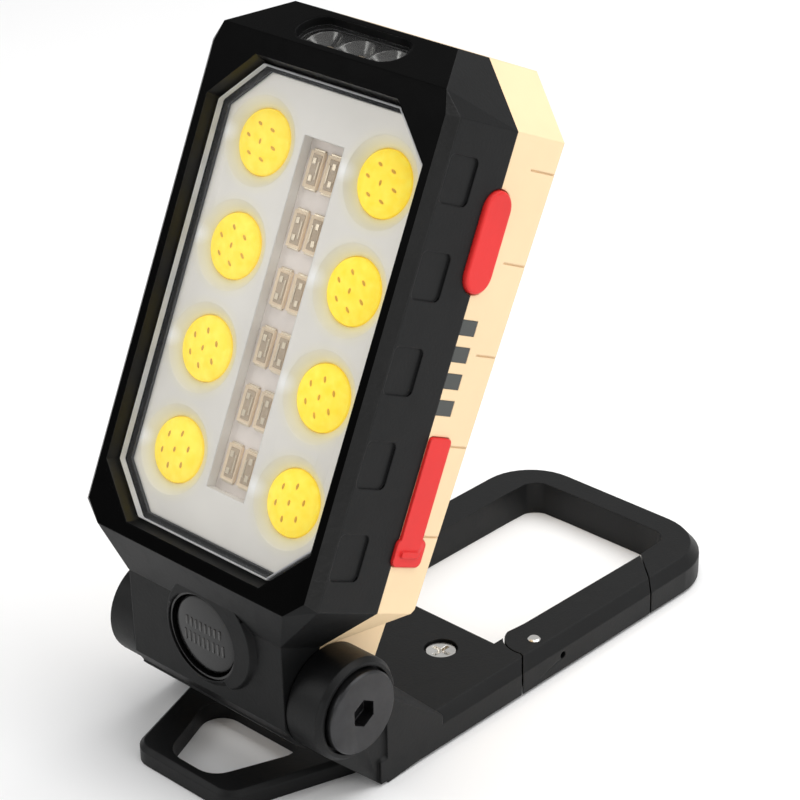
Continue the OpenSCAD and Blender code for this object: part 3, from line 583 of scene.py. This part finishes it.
class WORKLIGHT_OT_stage(bpy.types.Operator):
    """Pale floor, soft lights and the camera"""
    bl_idname = "worklight.stage"
    bl_label = "Stage"

    def execute(self, context):
        setting = context.scene.worklight_stage
        floor = bmesh.new()
        bmesh.ops.create_grid(floor, x_segments=8, y_segments=8, size=3.0)
        bmesh.ops.translate(floor, vec=(0, 0, -0.0001), verts=floor.verts)
        mesh = bpy.data.meshes.new("floor")
        floor.to_mesh(mesh)
        floor.free()
        mesh.materials.append(floor_finish("pale_floor"))
        ground = bpy.data.objects.new("floor", mesh)
        context.scene.collection.objects.link(ground)
        for name, spot, aim, size, power in (
                ("overhead", (0.15, 0.25, 0.75), (0, 0, 0.05), 0.9, setting.key),
                ("button_side", (0.75, 0.10, 0.30), (0, 0, 0.06), 0.5, setting.side),
                ("front_fill", (-0.45, -0.60, 0.50), (0, 0, 0.06), 0.35, setting.key * 0.18)):
            lamp = bpy.data.lights.new(name, "AREA")
            lamp.shape, lamp.size, lamp.energy = "SQUARE", size, power
            lamp_object = bpy.data.objects.new(name, lamp)
            lamp_object.location = spot
            lamp_object.rotation_euler = (Vector(spot) - Vector(aim)).to_track_quat("Z", "Y").to_euler()
            context.scene.collection.objects.link(lamp_object)
        world = bpy.data.worlds.new("even_sky")
        world.use_nodes = True
        world.node_tree.nodes["Background"].inputs[0].default_value = (1, 1, 1, 1)
        world.node_tree.nodes["Background"].inputs[1].default_value = setting.sky
        context.scene.world = world
        context.scene.view_settings.view_transform = "Standard"
        a, e, r = setting.azimuth, setting.elevation, setting.roll
        forward = Vector((-math.sin(a) * math.cos(e), math.cos(a) * math.cos(e), -math.sin(e)))
        right = Vector((math.cos(a), math.sin(a), 0.0))
        up = right.cross(forward)
        aim = Vector((0.0, HINGE.y, 0.0)) + right * setting.aim_side + up * setting.aim_up
        turned_right = right * math.cos(r) + up * math.sin(r)
        turned_up = up * math.cos(r) - right * math.sin(r)
        camera = bpy.data.objects.new("camera", bpy.data.cameras.new("camera"))
        camera.data.lens = setting.lens
        camera.data.sensor_width = 36.0
        camera.data.clip_start = 0.01
        axes = Matrix((turned_right, turned_up, -forward)).transposed()
        camera.matrix_world = Matrix.Translation(aim - forward * setting.distance) @ axes.to_4x4()
        context.scene.collection.objects.link(camera)
        context.scene.camera = camera
        return {"FINISHED"}


class WORKLIGHT_OT_shells(bpy.types.Operator):
    """Front housing, rear shell and their screws"""
    bl_idname = "worklight.shells"
    bl_label = "Head shells"

    def execute(self, context):
        skin("front_housing", "front_housing_skin", "head", "black_shell", material("black_shell"), 11.0, (
            (material("bezel_gloss"), in_head(on_bezel)),
            (material("window_wall"), in_head(on_window_wall)),
            (material("grained_strip"), in_head(on_bezel_strip)),
        ))
        skin("rear_shell", "rear_shell_skin", "head", "cream_shell", material("cream_shell"), 11.0)
        skin("housing_screws", "housing_screw_heads", "head", "dark_steel", material("dark_steel"))
        return {"FINISHED"}


class WORKLIGHT_OT_lamp(bpy.types.Operator):
    """Lens, gasket, reflector, lamp chips and warning lights"""
    bl_idname = "worklight.lamp"
    bl_label = "Lamp"

    def execute(self, context):
        lens = merged("front_lens")
        soften(lens, 0.35 * MM, 3)
        place("lens_panel", lens, "head", "clear_lens", material("clear"), ["front_lens"], regions=(
            (material("lens_edge"), in_head(on_lens_rim)),))
        skin("lens_gasket", "lens_seal", "head", "black_rubber", material("black_rubber"))
        skin("reflector_plate", "reflector_dishes", "head", "reflector", material("plate"))
        chips, dots = self.spots()
        gel = [(0.0, 2.35), (1.6, 2.32), (3.2, 2.2), (4.6, 1.98), (5.6, 1.7), (6.05, 1.35),
               (CHIP_RADIUS, 0.9), (CHIP_RADIUS, 0.05), (0.0, 0.05)]
        place("lamp_gel", turned_piece(gel, 48, chips), "head", "phosphor", material("gel"), ["cob_chips"])
        dot = [(0.0, 0.12), (0.2, 0.1), (0.34, 0.04), (0.4, -0.1), (0.0, -0.12)]
        place("gel_dimples", turned_piece(dot, 10, dots), "head", "phosphor", material("gel_dot"))
        coat("led_board", material("board_white"))
        self.packages()
        return {"FINISHED"}

    @staticmethod
    def spots():
        """Where each lamp chip sits, and each dimple in its gel."""
        half, lowest, pitch, back = chip_grid()
        chips, dots = [], []
        dimples, ring = 6, 3.3
        for side in (-1, 1):
            for row in range(CHIP_ROWS):
                centre = Vector((side * half, back, lowest + pitch * row))
                face = HEAD @ Matrix.Translation(centre) @ Matrix.Rotation(math.radians(90), 4, "X")
                chips.append(face)
                for spot in range(dimples):
                    turn = math.tau * spot / dimples + 0.3 + 0.2 * row
                    seat = Vector((ring * math.cos(turn), ring * math.sin(turn), 2.19)) * MM
                    oval = Matrix.Rotation(0.4 * row, 4, "Z") @ Matrix.Diagonal((0.8, 1.7, 1.0, 1.0))
                    dots.append(face @ Matrix.Translation(seat) @ oval)
                middle = Matrix.Translation(Vector((0, 0, 2.36)) * MM)
                dots.append(face @ middle @ Matrix.Diagonal((0.8, 1.5, 1.0, 1.0)))
        return chips, dots

    @staticmethod
    def packages():
        """Twelve light packages in six pairs: frames with sunk windows, bond pads and end contacts."""
        inverse = HEAD.inverted()
        verts = [inverse @ v.co for v in frame["nodes"]["warning_leds"].data.vertices]
        xs = [v.x / MM for v in verts]
        zs = sorted(v.z / MM for v in verts)
        back = max(v.y for v in verts) / MM
        across = max(xs)
        width, height, deep = 3.5, 6.8, 0.9
        pitch = (zs[-1] - zs[0] - height) / (PACKAGE_ROWS - 1)
        frames, gels, pads = bmesh.new(), bmesh.new(), bmesh.new()
        for row in range(PACKAGE_ROWS):
            middle = zs[0] + height / 2 + pitch * row
            for side in (-1, 1):
                x = side * (across - width / 2)
                block(frames, (width - 0.2, height, deep), (x, middle, deep / 2), 0.12, 2, 0.5, 0.35)
                block(gels, (width - 1.3, height - 1.2, 0.2), (x, middle, deep - 0.3), 0.08, 1)
                for end in (-1, 1):
                    contact = middle + end * (height / 2 + 0.15)
                    block(pads, (width - 0.7, 0.5, 0.5), (x, contact, 0.25), 0.08, 1)
                    bond = (x + side * 0.35, middle + end * 1.6, deep - 0.14)
                    block(pads, (0.9, 1.2, 0.16), bond, 0.04, 1)
                block(pads, (0.35, 3.4, 0.16), (x - side * 0.75, middle, deep - 0.14), 0.04, 1)
        # The blocks are laid out flat, then stood up against the board
        stand = HEAD @ Matrix.Translation((0, back * MM, 0)) @ Matrix.Rotation(math.radians(90), 4, "X")
        place("warning_frames", frames, "head", "led_package", material("package"), ["warning_leds"], stand)
        place("warning_gel", gels, "head", "led_package", material("package_gel"), (), stand)
        place("warning_pads", pads, "head", "led_package", material("bond"), (), stand)


class WORKLIGHT_OT_torch(bpy.types.Operator):
    """Torch window, its reflector cups and lights"""
    bl_idname = "worklight.torch"
    bl_label = "Torch"

    def execute(self, context):
        window = merged("torch_lens")
        soften(window, 0.15 * MM, 2)
        place("torch_window", window, "head", "clear_lens", material("dark_clear"), ["torch_lens"])
        skin("torch_reflector", "torch_cups", "head", "reflector", material("cup"))
        skin("torch_leds", "torch_lights", "head", "led_package", material("package"))
        return {"FINISHED"}


class WORKLIGHT_OT_controls(bpy.types.Operator):
    """Side button, port cover, indicator windows and power button"""
    bl_idname = "worklight.controls"
    bl_label = "Controls"

    def execute(self, context):
        button = merged("side_button")
        limit = max(v.co.x for v in button.verts)
        soften(button, 0.5 * MM, 4, 40.0, 0.2 * MM,
               lambda edge: min(v.co.x for v in edge.verts) > limit - 0.1 * MM)
        place("side_button_cap", button, "side_button", "red_rubber", material("red_rubber"),
              ["side_button"])
        skin("usb_cover", "port_cover", "usb_cover", "red_rubber", material("red_rubber"))
        skin("indicator_windows", "indicator_panes", "head", "window_plastic", material("smoked"))
        skin("power_bezel", "power_ring", "head", "black_trim", material("black_gloss"))
        self.power()
        return {"FINISHED"}

    @staticmethod
    def power():
        """Domed round button with two rows of short grip ribs."""
        inverse = HEAD.inverted()
        local = [inverse @ v.co for v in frame["nodes"]["power_button"].data.vertices]
        outward = (inverse.to_3x3() @ -PRESS).normalized()
        face = max(v.dot(outward) for v in local)
        middle = sum((v for v in local), Vector()) / len(local)
        middle.x = 0.0
        seat = middle + outward * (face - middle.dot(outward))
        flat = outward.to_track_quat("Z", "Y").to_matrix().to_4x4()
        stand = HEAD @ Matrix.Translation(seat) @ flat
        dome = [(0.0, 0.0), (2.0, -0.02), (4.0, -0.09), (6.0, -0.22), (7.2, -0.36), (7.75, -0.52),
                (8.0, -0.75), (8.1, -1.1), (8.1, -1.95), (2.0, -1.95), (2.0, -2.5), (0.0, -2.5)]
        whole = turned_piece(dome, 72)
        place("power_button_dish", whole, "power_button", "black_trim", material("black_gloss"),
              ["power_button"], stand)
        ribs = bmesh.new()
        spacing = 1.25
        for row, count, tall in ((1.7, 8, 2.0), (-1.6, 9, 2.4)):
            for rib in range(count):
                x = (rib - (count - 1) / 2) * spacing
                # The dome falls away as the square of the distance from its middle
                fall = 0.0055 * (x * x + row * row)
                block(ribs, (0.6, tall, 0.34), (x, row, -0.03 - fall), 0.14, 2)
        place("power_button_ribs", ribs, "power_button", "black_trim", material("rib"), (), stand)


class WORKLIGHT_OT_base(bpy.types.Operator):
    """Base, its cover, magnet and screws"""
    bl_idname = "worklight.base"
    bl_label = "Base"

    def execute(self, context):
        skin("base_frame", "base_skin", "base", "black_shell", material("base_black"))
        skin("bottom_cover", "bottom_cover_skin", "base", "black_shell", material("base_black"))
        skin("magnet_cup", "magnet_ring", "base", "plain_steel", material("plain_steel"))
        skin("magnet", "magnet_disc", "base", "magnet_metal", material("magnet_metal"))
        skin("base_screws", "base_screw_heads", "base", "bright_steel", material("bright_steel"))
        return {"FINISHED"}


class WORKLIGHT_OT_hinge(bpy.types.Operator):
    """Hinge bolt, nut and washers"""
    bl_idname = "worklight.hinge"
    bl_label = "Hinge"

    def execute(self, context):
        skin("hinge_bolt", "hinge_bolt_skin", "base", "dark_steel", material("dark_steel"))
        skin("hinge_nut", "hinge_nut_skin", "base", "dark_steel", material("dark_steel"))
        skin("spring_washer", "spring_washer_skin", "base", "plain_steel", material("plain_steel"))
        skin("friction_washers", "friction_washer_skins", "base", "washer_bronze", material("bronze"))
        skin("hinge_sleeve", "hinge_sleeve_skin", "head", "plain_steel", material("plain_steel"))
        return {"FINISHED"}


class WORKLIGHT_OT_gate(bpy.types.Operator):
    """Sprung gate, its pin and spring"""
    bl_idname = "worklight.gate"
    bl_label = "Gate"

    def execute(self, context):
        skin("gate", "gate_skin", "gate", "black_shell", material("base_black"))
        skin("gate_pin", "gate_rivet", "base", "bright_steel", material("bright_steel"))
        skin("gate_spring", "gate_coil", "base", "bright_steel", material("bright_steel"))
        return {"FINISHED"}


class WORKLIGHT_OT_inside(bpy.types.Operator):
    """Battery, boards, sockets and switches inside the head"""
    bl_idname = "worklight.inside"
    bl_label = "Inside"

    def execute(self, context):
        for node, finish in (("battery_cell", "sleeve"), ("battery_tabs", "bright_steel"),
                             ("battery_cradle", "inner_black"), ("control_board", "board_green"),
                             ("indicator_leds", "package"), ("usb_c_port", "bright_steel"),
                             ("usb_a_port", "bright_steel"), ("side_switch", "inner_black"),
                             ("power_switch", "inner_black")):
            coat(node, material(finish))
        return {"FINISHED"}


class WORKLIGHT_PT_panel(bpy.types.Panel):
    """Lists the pieces and their settings"""
    bl_idname = "WORKLIGHT_PT_panel"
    bl_label = "Work Light"
    bl_space_type = "VIEW_3D"
    bl_region_type = "UI"
    bl_category = "Work Light"

    def draw(self, context):
        for operator in OPERATORS:
            self.layout.operator(operator.bl_idname)
        for group in (context.scene.worklight_finish, context.scene.worklight_stage):
            for key in group.bl_rna.properties.keys():
                if key not in ("rna_type", "name"):
                    self.layout.prop(group, key)


OPERATORS = (WORKLIGHT_OT_stage, WORKLIGHT_OT_shells, WORKLIGHT_OT_lamp, WORKLIGHT_OT_torch,
             WORKLIGHT_OT_controls, WORKLIGHT_OT_base, WORKLIGHT_OT_hinge, WORKLIGHT_OT_gate,
             WORKLIGHT_OT_inside)
CLASSES = (WORKLIGHT_PG_finish, WORKLIGHT_PG_stage, *OPERATORS, WORKLIGHT_PT_panel)


def register():
    for each in CLASSES:
        bpy.utils.register_class(each)
    bpy.types.Scene.worklight_finish = PointerProperty(type=WORKLIGHT_PG_finish)
    bpy.types.Scene.worklight_stage = PointerProperty(type=WORKLIGHT_PG_stage)


def unregister():
    del bpy.types.Scene.worklight_stage
    del bpy.types.Scene.worklight_finish
    for each in reversed(CLASSES):
        bpy.utils.unregister_class(each)


def main():
    register()
    for operator in OPERATORS:
        group, name = operator.bl_idname.split(".")
        getattr(getattr(bpy.ops, group), name)()


if __name__ == "__main__":
    main()
